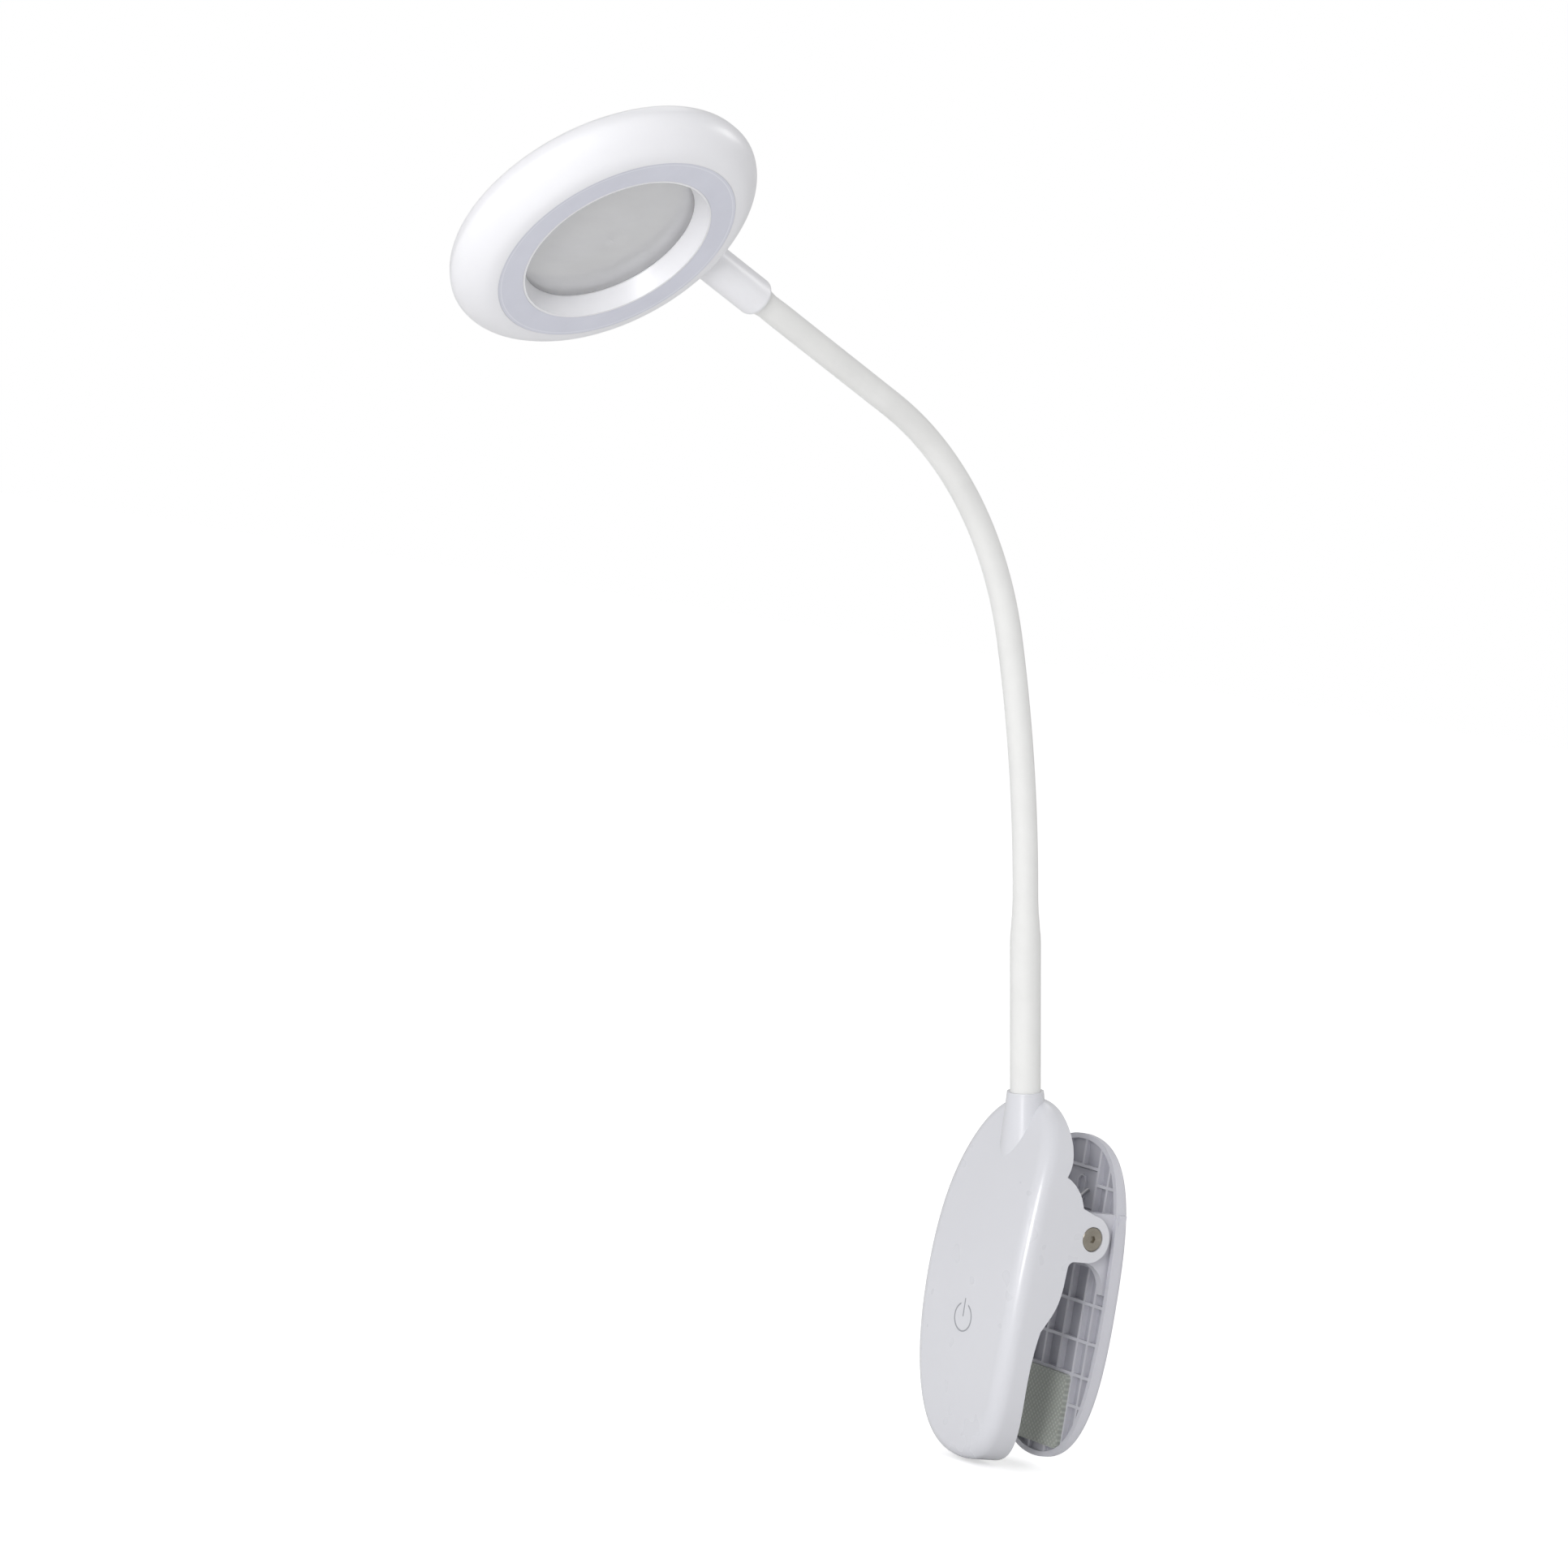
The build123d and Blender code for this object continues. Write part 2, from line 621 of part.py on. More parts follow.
# the stem leaves the ring along the end of the neck; the ring hangs from it, rolled and drooped
mouth = neck_section(stem_mouth)
inward = mouth.z_dir
stem_axis = Axis(mouth.origin, inward)
hanging = neck_plane.z_dir.cross(inward)
if hanging.Z > 0:
    hanging = -hanging
lit_flat = hanging.rotate(Axis((0, 0, 0), inward), head_roll)
lit_side = (lit_flat * cos(radians(stem_droop)) - inward * sin(radians(stem_droop))).normalized()
to_stem = (-inward - lit_side * (-inward).dot(lit_side)).normalized()
sideways = lit_side.cross(to_stem)
ring_centre = mouth.origin + inward * stem_reach - to_stem * stem_crossing_radius + sideways * stem_side_offset
ring_plane = Plane(origin=ring_centre, x_dir=to_stem, z_dir=lit_side)
# section plane: x runs out from the ring's axis, y towards the lit side
section_plane = Plane(origin=ring_centre, x_dir=to_stem, z_dir=to_stem.cross(lit_side))
ring_axis = Axis(ring_centre, lit_side)
stem_plane = Plane(origin=mouth.origin + inward * 0.1, x_dir=mouth.x_dir, z_dir=inward)


def screw_posts(radius, low, high):
    """Return the three round posts for the head's screws between two heights."""
    with BuildPart() as posts:
        with BuildSketch(ring_plane.offset(low)):
            with PolarLocations(head_screw_circle, 3, start_angle=60):
                Circle(radius)
        extrude(amount=high - low)
    return posts.part


# outside of the ring in section, as (radius, height), from the light round to the back
front_rim = [(light_outer_radius + 0.05, ring_face), (37.2, 6.7), (40.3, 4.5), (42.9, 1.5), (ring_radius, -1.1),
             (43.1, parting_height)]
back_rim = [(43.1, parting_height), (40.4, -6.2), (36.0, -ring_face)]
floor_height = 1.8 - ring_face


def shrunk(rim):
    """Return the matching inner side of a stretch of rim."""
    return [(light_outer_radius + 0.81 * (r - light_outer_radius), 0.77 * h) for r, h in rim]


# room inside the ring, between the inner tube and the rim
with BuildPart() as ring_room:
    with BuildSketch(section_plane):
        with BuildLine():
            room_rim = Spline(*shrunk(front_rim[1:] + back_rim[1:]))
            Polyline(
                room_rim @ 1,
                (light_inner_radius + 2, floor_height),
                (light_inner_radius + 2, light_seat - 1),
                (light_outer_radius, light_seat - 1),
                room_rim @ 0,
            )
        make_face()
    revolve(axis=ring_axis)

with BuildPart() as head_lower_shell:
    with BuildSketch(section_plane):
        with BuildLine():
            rim = Spline(*front_rim, tangents=[(1, -0.1), (-0.35, -1)])
            inner_rim = Spline(*shrunk(front_rim[1:]))
            Line(rim @ 1, inner_rim @ 1)
            Polyline(
                inner_rim @ 0,
                (light_outer_radius - 0.8, light_seat - 1.2),
                (light_outer_radius - 0.8, light_seat),
                (light_outer_radius + 0.05, light_seat),
                rim @ 0,
            )
        make_face()
    revolve(axis=ring_axis)
    # stem
    with BuildSketch(stem_plane):
        Circle(stem_radius)
    extrude(amount=stem_length)
    fillet(head_lower_shell.faces().filter_by(stem_axis).sort_by(stem_axis)[0].edges(), radius=1.7)
    add(ring_room.part, mode=Mode.SUBTRACT)
    # posts for the screws from the back
    add(screw_posts(2.1, floor_height + 0.6, 5.0))
    add(screw_posts(screw_radius + 0.1, floor_height - 1, 1.0), mode=Mode.SUBTRACT)
    with BuildSketch(stem_plane):
        Circle(plug_radius + running_gap)
    extrude(amount=plug_length + 0.2, mode=Mode.SUBTRACT)
    with BuildSketch(stem_plane):
        Circle(1.6)
    extrude(amount=stem_length + 4, mode=Mode.SUBTRACT)
save("head_lower_shell", head_lower_shell.part)

with BuildPart() as head_top_cover:
    with BuildSketch(section_plane):
        with BuildLine():
            outer = Spline(*back_rim, tangents=[(-0.35, -1), (-1, 0)])
            inner = Spline(*shrunk(back_rim))
            Line(outer @ 0, inner @ 0)
            Polyline(
                inner @ 1,
                (light_inner_radius + 1.6, floor_height),
                (light_inner_radius + 1.6, board_height),
                (light_inner_radius + 0.8, board_height),
                (light_inner_radius + 0.8, light_seat),
                (light_inner_radius - 0.05, light_seat),
                (light_inner_radius - 0.05, ring_face),
                (light_inner_radius - 0.6, ring_face),
            )
            bevel = Spline(
                (light_inner_radius - 0.6, ring_face),
                (25.4, 4.6),
                (lens_radius - 0.6, lens_top + 0.5),
                tangents=[(-0.2, -1), (-0.5, -1)],
            )
            Polyline(
                bevel @ 1,
                (lens_radius - 0.6, lens_top + 0.15),
                (lens_radius + 0.1, lens_top + 0.15),
                (lens_radius + 0.1, 1 - ring_face),
                (lens_radius + 0.9, -ring_face),
                outer @ 1,
            )
        make_face()
    revolve(axis=ring_axis)
    # notch for the stem, then the screw holes
    with BuildSketch(stem_plane):
        Circle(stem_radius + 0.05)
    extrude(amount=stem_length + 1, mode=Mode.SUBTRACT)
    add(screw_posts(screw_radius + 0.15, -ring_face - 1, 0), mode=Mode.SUBTRACT)
    add(screw_posts(1.9, -ring_face - 1, -ring_face + 0.9), mode=Mode.SUBTRACT)
save("head_top_cover", head_top_cover.part)

with BuildPart() as head_screws:
    add(screw_posts(1.75, -ring_face, -ring_face + 0.9))
    add(screw_posts(screw_radius, -ring_face + 0.9, 0.8))
    with BuildSketch(ring_plane.offset(-ring_face)):
        with PolarLocations(head_screw_circle, 3, start_angle=60):
            Rectangle(2.0, 0.45)
            Rectangle(0.45, 2.0)
    extrude(amount=0.5, mode=Mode.SUBTRACT)
save("head_screws", head_screws.part)

with BuildPart() as diffuser_ring:
    with BuildSketch(ring_plane.offset(light_seat)):
        Circle(light_outer_radius)
        Circle(light_inner_radius, mode=Mode.SUBTRACT)
    extrude(amount=ring_face - light_seat)
save("diffuser_ring", diffuser_ring.part)

with BuildPart() as led_board:
    with BuildSketch(ring_plane.offset(board_height)):
        Circle(light_outer_radius - 0.6)
        Circle(light_inner_radius + 0.9, mode=Mode.SUBTRACT)
    extrude(amount=1.0)
save("led_board", led_board.part)

with BuildPart() as led_chips:
    with BuildSketch(ring_plane.offset(board_height + 1.0)):
        with PolarLocations((light_inner_radius + light_outer_radius) / 2, led_count):
            Rectangle(2.8, 3.5)
    extrude(amount=0.8)
save("led_chips", led_chips.part)

with BuildPart() as magnifier_lens:
    with BuildSketch(section_plane):
        with BuildLine():
            low = lens_top - lens_edge
            front_curve = TangentArc((0, lens_top + lens_bulge), (lens_radius, lens_top), tangent=(1, 0))
            back_curve = TangentArc((0, low - lens_bulge), (lens_radius, low), tangent=(1, 0))
            Line(front_curve @ 0, back_curve @ 0)
            Line(front_curve @ 1, back_curve @ 1)
        make_face()
    revolve(axis=ring_axis)
save("magnifier_lens", magnifier_lens.part)

with BuildPart() as lens_retaining_ring:
    with BuildSketch(ring_plane.offset(lens_top - lens_edge - 0.25)):
        Circle(lens_radius + 0.05)
        Circle(lens_radius - 1.0, mode=Mode.SUBTRACT)
    extrude(amount=-1.4)
save("lens_retaining_ring", lens_retaining_ring.part)
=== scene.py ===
import json
import math

import bmesh
import bpy
from mathutils import Matrix, Quaternion, Vector


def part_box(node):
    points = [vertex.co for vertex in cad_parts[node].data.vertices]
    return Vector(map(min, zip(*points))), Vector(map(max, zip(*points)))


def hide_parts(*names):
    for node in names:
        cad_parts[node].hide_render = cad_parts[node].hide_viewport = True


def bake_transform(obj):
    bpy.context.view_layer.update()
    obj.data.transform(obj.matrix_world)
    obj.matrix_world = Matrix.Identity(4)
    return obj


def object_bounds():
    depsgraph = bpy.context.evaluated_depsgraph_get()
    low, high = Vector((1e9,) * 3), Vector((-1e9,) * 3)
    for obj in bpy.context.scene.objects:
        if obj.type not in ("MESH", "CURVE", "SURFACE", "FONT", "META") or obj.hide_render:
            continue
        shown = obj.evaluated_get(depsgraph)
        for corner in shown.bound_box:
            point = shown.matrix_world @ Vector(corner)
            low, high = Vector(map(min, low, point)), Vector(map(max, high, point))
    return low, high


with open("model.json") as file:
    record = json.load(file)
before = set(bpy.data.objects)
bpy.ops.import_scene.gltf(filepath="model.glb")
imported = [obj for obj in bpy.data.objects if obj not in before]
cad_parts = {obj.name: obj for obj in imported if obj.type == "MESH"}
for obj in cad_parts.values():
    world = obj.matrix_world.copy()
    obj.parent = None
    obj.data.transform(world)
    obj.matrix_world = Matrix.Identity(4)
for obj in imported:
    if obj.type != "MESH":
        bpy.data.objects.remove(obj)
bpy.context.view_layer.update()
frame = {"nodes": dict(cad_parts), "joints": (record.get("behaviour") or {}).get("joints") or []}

NODES = frame["nodes"]
JOINTS = {joint["name"]: joint for joint in frame["joints"]}
MM = 0.001

# ---- neck: the centre line, as the CAD has it; millimetres and degrees ----
NECK_LEAN = 11.5
STRAIGHT_LENGTH = 59.0
GENTLE_RADIUS = 401.0
GENTLE_ANGLE = 10.5
TIGHT_RADIUS = 105.0
TIGHT_ANGLE = 48.0
BEND_COUNT = 6
FIRST_BEND = 64.0
BEND_SPACING = 36.0
NECK_START = -5.0
STEM_MOUTH = 281.0
STATION_STEP = 1.0
SLEEVE_BORE = 2.5
TOLERANCE = 1e-6
# radius of the silicone sleeve by distance above the collar
SLEEVE_RADII = [
    (-5.0, 4.5), (42.5, 4.5), (44.5, 4.44), (48.0, 4.15), (52.0, 3.84), (55.5, 3.71), (57.5, 3.7),
    (272.0, 3.7), (275.5, 3.62), (277.2, 3.61), (279.0, 3.82), (280.2, 3.99), (281.0, 3.95),
]

# ---- clip and head: lengths in millimetres ----
# painted shade in the rear jaw's pockets: it darkens between these two values of Y
PAINTED_SHADE_START = 18.6
PAINTED_SHADE_FULL = 20.0
KNURL_HALF_PITCH = 0.6
KNURL_DEGREES = 45
SEAM_RADIUS = 33.2
SEAM_HALF_WIDTH = 0.16
RING_AXIS = (0.685069, 0.19073, -0.703067)
BOARD_TRACK_PITCH = 9

# ---- looks ----
# the shell and the head are one gloss white plastic; the head's copy is lighter, painted light for the
# brighter light the head gets
WHITE_GLOSS = (0.71, 0.715, 0.755)
WHITE_HEAD_PAINTED_LIGHT = (0.86, 0.86, 0.89)
WHITE_MATTE = (0.62, 0.62, 0.67)
# painted shade: the colour the rear jaw's pocket floors darken to
PAINTED_POCKET_SHADE = (0.45, 0.45, 0.50)
RING_DARK = (0.66, 0.67, 0.75)
RING_LIGHT = (0.70, 0.71, 0.79)
RING_SEAM = (0.76, 0.77, 0.84)
LENS_DARK = (0.79, 0.79, 0.80)
LENS_LIGHT = (0.84, 0.84, 0.85)
PLASTIC_INDEX = 1.49
SILICONE_INDEX = 1.41
LENS_INDEX = 1.06
# what Blender's pointiness reads on a flat face
FLAT_POINTINESS = 0.5
# nearly all of a noise texture's values lie between these
NOISE_LOW = 0.3
NOISE_HIGH = 0.7

# ---- studio: metres and degrees ----
SKY_LIGHT = 0.57
FLOOR_GLOW = 0.5
FLOOR_RADIUS = 30
FLOOR_GAP = 0.001
FLOOR_DARK = (0.93, 0.93, 0.93)
FLOOR_LIGHT = (0.95, 0.95, 0.95)
LIGHT_TARGET = (0.0, -0.05, 0.15)
# name, place, width, height and power in watts
SOFT_LIGHTS = [
    ("key", (0.3, -2.0, 0.2), 0.5, 0.8, 3),
    ("strip", (1.15, -1.55, 0.2), 0.4, 1.6, 24),
    ("top", (-1.1, 0.5, 1.9), 0.8, 0.8, 2),
    ("back", (0.3, 1.7, 1.0), 0.5, 0.5, 4),
    ("front", (1.8, -0.4, -0.6), 0.9, 0.9, 11),
]
CAMERA_PLACE = (1.32947, -0.98834, 0.22773)
CAMERA_AZIMUTH = 56.47
CAMERA_ELEVATION = 2.06
CAMERA_ROLL = 9.33
CAMERA_ANGLE = 15.714

# ================= materials =================


def new_material(name):
    """Return a material's node tree, its surface shader and a coordinate socket in metres."""
    material = bpy.data.materials.new(name)
    material.use_nodes = True
    tree = material.node_tree
    shader = tree.nodes["Principled BSDF"]
    coordinates = tree.nodes.new("ShaderNodeTexCoord").outputs["Object"]
    return material, tree, shader, coordinates


def noise(tree, coordinates, size, detail=3.0, roughness=0.55, stretch=(1, 1, 1)):
    """Add a noise texture whose features are about this many millimetres across."""
    mapping = tree.nodes.new("ShaderNodeMapping")
    mapping.inputs["Scale"].default_value = stretch
    texture = tree.nodes.new("ShaderNodeTexNoise")
    texture.inputs["Scale"].default_value = 1 / (size * MM)
    texture.inputs["Detail"].default_value = detail
    texture.inputs["Roughness"].default_value = roughness
    tree.links.new(coordinates, mapping.inputs["Vector"])
    tree.links.new(mapping.outputs["Vector"], texture.inputs["Vector"])
    return texture.outputs["Fac"]


def ramp(tree, value, low, high, out_low, out_high):
    """Map a value from one range to another, clamped."""
    node = tree.nodes.new("ShaderNodeMapRange")
    node.inputs["From Min"].default_value = low
    node.inputs["From Max"].default_value = high
    node.inputs["To Min"].default_value = out_low
    node.inputs["To Max"].default_value = out_high
    tree.links.new(value, node.inputs["Value"])
    return node.outputs["Result"]


def spread(tree, noise_value, out_low, out_high):
    """Spread a noise over an output range."""
    return ramp(tree, noise_value, NOISE_LOW, NOISE_HIGH, out_low, out_high)


def scaled(colour, factor):
    """Return a colour made darker or lighter by a factor, with no channel above 1."""
    return tuple(min(1, channel * factor) for channel in colour)


def calculate(tree, operation, *operands):
    """Add a math node; each operand is a socket or a number."""
    node = tree.nodes.new("ShaderNodeMath")
    node.operation = operation
    for socket, operand in zip(node.inputs, operands):
        if isinstance(operand, (int, float)):
            socket.default_value = operand
        else:
            tree.links.new(operand, socket)
    return node.outputs["Value"]


def calculate_vector(tree, operation, vector, constant=(0, 0, 0)):
    """Add a vector math node on a socket and a constant vector."""
    node = tree.nodes.new("ShaderNodeVectorMath")
    node.operation = operation
    tree.links.new(vector, node.inputs[0])
    node.inputs[1].default_value = constant
    return node.outputs["Value" if operation == "LENGTH" else "Vector"]


def split_axes(tree, vector):
    """Return a vector's X, Y and Z as sockets by name."""
    node = tree.nodes.new("ShaderNodeSeparateXYZ")
    tree.links.new(vector, node.inputs["Vector"])
    return node.outputs


def blend_colours(tree, factor, first, second):
    """Mix two colours by a factor; either colour may be a socket."""
    node = tree.nodes.new("ShaderNodeMix")
    node.data_type = "RGBA"
    tree.links.new(factor, node.inputs["Factor"])
    for name, colour in (("A", first), ("B", second)):
        socket = [s for s in node.inputs if s.name == name and s.type == "RGBA"][0]
        if isinstance(colour, tuple):
            socket.default_value = (*colour, 1)
        else:
            tree.links.new(colour, socket)
    return [s for s in node.outputs if s.type == "RGBA"][0]


def add_bump(tree, shader, height, depth, strength=0.5):
    """Bump the surface by a height value, with depth in millimetres."""
    node = tree.nodes.new("ShaderNodeBump")
    node.inputs["Strength"].default_value = strength
    node.inputs["Distance"].default_value = depth * MM
    tree.links.new(height, node.inputs["Height"])
    tree.links.new(node.outputs["Normal"], shader.inputs["Normal"])


def worn_edges(tree, reach=0.03):
    """Return a 0 to 1 value that rises on sharp outer edges."""
    geometry = tree.nodes.new("ShaderNodeNewGeometry")
    low = FLAT_POINTINESS + reach
    high = FLAT_POINTINESS + 4 * reach
    return ramp(tree, geometry.outputs["Pointiness"], low, high, 0.0, 1.0)


def moulded_plastic(
    name, colour, roughness, grain, grain_depth, coat=0.0, coat_roughness=0.2, subsurface=0.0
):
    """Plastic with faint flow marks, duller patches and a moulded grain."""
    material, tree, shader, place = new_material(name)
    flow = noise(tree, place, size=38, detail=2, stretch=(1, 1, 0.4))
    patches = noise(tree, place, size=14, detail=2)
    body = blend_colours(tree, ramp(tree, flow, 0.35, 0.65, 0, 1), scaled(colour, 0.985), colour)
    tree.links.new(body, shader.inputs["Base Color"])
    patchy_roughness = spread(tree, patches, roughness * 0.86, roughness * 1.16)
    tree.links.new(patchy_roughness, shader.inputs["Roughness"])
    shader.inputs["IOR"].default_value = PLASTIC_INDEX
    shader.inputs["Coat Weight"].default_value = coat
    shader.inputs["Coat Roughness"].default_value = coat_roughness
    shader.inputs["Subsurface Weight"].default_value = subsurface
    shader.inputs["Subsurface Radius"].default_value = (1.0, 1.0, 1.0)
    shader.inputs["Subsurface Scale"].default_value = 1.2 * MM
    add_bump(tree, shader, noise(tree, place, size=grain, detail=3), depth=grain_depth)
    return material


def paint_pocket_shade(material, shade, start, full):
    """Darken the floors between a moulding's ribs with painted shade: faces turned to -Y, from start to
    full in mm of Y.
    """
    tree = material.node_tree
    shader = tree.nodes["Principled BSDF"]
    source = tree.nodes.new("ShaderNodeTexCoord")
    place = split_axes(tree, source.outputs["Object"])
    facing = split_axes(tree, source.outputs["Normal"])
    deep = ramp(tree, place["Y"], start * MM, full * MM, 0, 1)
    floor = ramp(tree, facing["Y"], -0.8, -0.3, 1, 0)
    body = shader.inputs["Base Color"].links[0].from_socket
    shaded = blend_colours(tree, calculate(tree, "MULTIPLY", deep, floor), body, shade)
    tree.links.new(shaded, shader.inputs["Base Color"])


def silicone(name, colour):
    """Matte rubber sleeve: velvety edge light, handling marks and fine pores."""
    material, tree, shader, place = new_material(name)
    smears = noise(tree, place, size=16, detail=4)
    pores = noise(tree, place, size=0.5, detail=2)
    body = blend_colours(tree, ramp(tree, smears, 0.35, 0.7, 0, 1), scaled(colour, 0.95), colour)
    tree.links.new(body, shader.inputs["Base Color"])
    tree.links.new(spread(tree, smears, 0.5, 0.66), shader.inputs["Roughness"])
    shader.inputs["IOR"].default_value = SILICONE_INDEX
    shader.inputs["Sheen Weight"].default_value = 0.25
    shader.inputs["Sheen Roughness"].default_value = 0.4
    add_bump(tree, shader, pores, depth=0.03)
    return material


def pad_rubber(name, colour):
    """Translucent grip pad with a moulded diamond knurl, whose raised diamonds are painted lighter as a
    highlight.
    """
    material, tree, shader, place = new_material(name)
    turn = tree.nodes.new("ShaderNodeMapping")
    turn.inputs["Rotation"].default_value = (0, math.radians(KNURL_DEGREES), 0)
    tree.links.new(place, turn.inputs["Vector"])
    turned = split_axes(tree, turn.outputs["Vector"])
    ridges = []
    for axis in ("X", "Z"):
        wave = calculate(tree, "PINGPONG", turned[axis], KNURL_HALF_PITCH * MM)
        ridges.append(ramp(tree, wave, 0, KNURL_HALF_PITCH * MM, 0, 1))
    knurl = calculate(tree, "MULTIPLY", *ridges)
    stains = noise(tree, place, size=5, detail=4)
    body = blend_colours(tree, spread(tree, stains, 0, 1), scaled(colour, 0.88), colour)
    # painted highlight: the knurl's raised diamonds are coloured up to half again lighter
    body = blend_colours(tree, ramp(tree, knurl, 0, 0.8, 0, 0.85), body, scaled(colour, 1.5))
    tree.links.new(body, shader.inputs["Base Color"])
    tree.links.new(spread(tree, stains, 0.42, 0.6), shader.inputs["Roughness"])
    shader.inputs["Subsurface Weight"].default_value = 0.25
    shader.inputs["Subsurface Radius"].default_value = (1.0, 1.0, 0.9)
    shader.inputs["Subsurface Scale"].default_value = 1.0 * MM
    add_bump(tree, shader, knurl, depth=0.25, strength=0.8)
    return material


def turned_metal(name, colour, roughness, scratch_size, scratch_stretch):
    """Bare or plated metal with drawn scratches, tarnish in patches and bright edges."""
    material, tree, shader, place = new_material(name)
    tarnish = noise(tree, place, size=3.0, detail=4)
    scratches = noise(tree, place, size=scratch_size, detail=4, stretch=scratch_stretch)
    body = blend_colours(tree, ramp(tree, tarnish, 0.4, 0.75, 0, 1), colour, scaled(colour, 0.78))
    edges = ramp(tree, worn_edges(tree), 0, 1, 0, 0.6)
    body = blend_colours(tree, edges, body, scaled(colour, 1.25))
    tree.links.new(body, shader.inputs["Base Color"])
    drawn_roughness = spread(tree, scratches, roughness * 0.8, roughness * 1.3)
    tree.links.new(drawn_roughness, shader.inputs["Roughness"])
    shader.inputs["Metallic"].default_value = 1.0
    add_bump(tree, shader, scratches, depth=0.015, strength=0.4)
    return material


def frosted_ring(name, centre, axis):
    """Flush diffuser of the light: lavender-grey, frosted, with a fine lighter seam near its outer edge."""
    material, tree, shader, place = new_material(name)
    offset = calculate_vector(tree, "SUBTRACT", place, centre)
    across = calculate_vector(tree, "CROSS_PRODUCT", offset, axis)
    radius = calculate_vector(tree, "LENGTH", across)
    seam = calculate(tree, "COMPARE", radius, SEAM_RADIUS * MM, SEAM_HALF_WIDTH * MM)
    clouds = noise(tree, place, size=12, detail=3)
    frost = noise(tree, place, size=0.35, detail=2)
    body = blend_colours(tree, spread(tree, clouds, 0, 1), RING_DARK, RING_LIGHT)
    body = blend_colours(tree, seam, body, RING_SEAM)
    tree.links.new(body, shader.inputs["Base Color"])
    tree.links.new(spread(tree, frost, 0.42, 0.58), shader.inputs["Roughness"])
    shader.inputs["Subsurface Weight"].default_value = 0.15
    shader.inputs["Subsurface Radius"].default_value = (1.0, 1.0, 1.0)
    shader.inputs["Subsurface Scale"].default_value = 1.0 * MM
    add_bump(tree, shader, frost, depth=0.02, strength=0.4)
    return material


def lens_acrylic(name):
    """Clear magnifier: slightly grey acrylic with faint wiping marks."""
    material, tree, shader, place = new_material(name)
    wiping = noise(tree, place, size=7, detail=5, stretch=(1, 0.3, 1))
    body = blend_colours(tree, spread(tree, wiping, 0, 1), LENS_DARK, LENS_LIGHT)
    tree.links.new(body, shader.inputs["Base Color"])
    tree.links.new(ramp(tree, wiping, 0.35, 0.75, 0.015, 0.07), shader.inputs["Roughness"])
    shader.inputs["Transmission Weight"].default_value = 0.6
    # a low index keeps the rim from turning black by total reflection; the coat brings the glints back
    shader.inputs["IOR"].default_value = LENS_INDEX
    shader.inputs["Coat Weight"].default_value = 1.0
    shader.inputs["Coat Roughness"].default_value = 0.03
    add_bump(tree, shader, wiping, depth=0.002, strength=0.1)
    return material


def circuit_board(name, mask_colour, copper_colour):
    """Solder mask with tracks that show through as slightly raised lines."""
    material, tree, shader, place = new_material(name)
    bricks = tree.nodes.new("ShaderNodeTexBrick")
    bricks.inputs["Scale"].default_value = 1 / (BOARD_TRACK_PITCH * MM)
    bricks.inputs["Mortar Size"].default_value = 0.03
    bricks.inputs["Color1"].default_value = (*mask_colour, 1)
    bricks.inputs["Color2"].default_value = (*scaled(mask_colour, 0.93), 1)
    bricks.inputs["Mortar"].default_value = (*copper_colour, 1)
    tree.links.new(place, bricks.inputs["Vector"])
    tree.links.new(bricks.outputs["Color"], shader.inputs["Base Color"])
    tree.links.new(spread(tree, noise(tree, place, size=4), 0.3, 0.45), shader.inputs["Roughness"])
    add_bump(tree, shader, bricks.outputs["Fac"], depth=0.04, strength=0.4)
    return material


def dress(material, *names):
    """Give these CAD nodes one material."""
    for name in names:
        mesh = NODES[name].data
        mesh.materials.clear()
        mesh.materials.append(material)


lit_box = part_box("diffuser_ring")
ring_centre = (lit_box[0] + lit_box[1]) / 2
ring_axis = Vector(RING_AXIS)

clip_white = moulded_plastic(
    "gloss_white_shell", WHITE_GLOSS, roughness=0.30, grain=0.9, grain_depth=0.0015,
    coat=1.0, coat_roughness=0.25, subsurface=0.05
)
# painted light: the head's white is a lighter copy of the shell's gloss white
head_white_painted_light = moulded_plastic(
    "gloss_white_head_painted_light", WHITE_HEAD_PAINTED_LIGHT, roughness=0.32, grain=0.8, grain_depth=0.0015,
    coat=0.35, coat_roughness=0.3, subsurface=0.08
)
matte_white = moulded_plastic(
    "satin_white_inside", WHITE_MATTE, roughness=0.46, grain=0.35, grain_depth=0.03
)
cover_white = moulded_plastic(
    "satin_white_cover", (0.74, 0.75, 0.77), roughness=0.42, grain=0.35, grain_depth=0.03
)
paint_pocket_shade(matte_white, PAINTED_POCKET_SHADE, PAINTED_SHADE_START, PAINTED_SHADE_FULL)
sleeve_silicone = silicone("sleeve_silicone", (0.83, 0.83, 0.82))
grip_rubber = pad_rubber("grip_pad_rubber", (0.37, 0.39, 0.36))
nickel = turned_metal(
    "nickel_plate", (0.36, 0.33, 0.28), roughness=0.3, scratch_size=0.25, scratch_stretch=(1, 1, 5)
)
steel = turned_metal(
    "drawn_steel", (0.56, 0.56, 0.57), roughness=0.3, scratch_size=0.3, scratch_stretch=(1, 1, 6)
)
spring_steel = turned_metal(
    "spring_steel", (0.50, 0.50, 0.52), roughness=0.28, scratch_size=0.2, scratch_stretch=(4, 1, 1)
)
copper = turned_metal(
    "bare_copper", (0.78, 0.42, 0.27), roughness=0.35, scratch_size=0.5, scratch_stretch=(1, 1, 3)
)
foil = turned_metal(
    "cell_foil", (0.72, 0.73, 0.75), roughness=0.4, scratch_size=2.5, scratch_stretch=(1, 1, 0.3)
)
grey_print = moulded_plastic(
    "grey_print", (0.36, 0.37, 0.40), roughness=0.5, grain=0.2, grain_depth=0.01
)
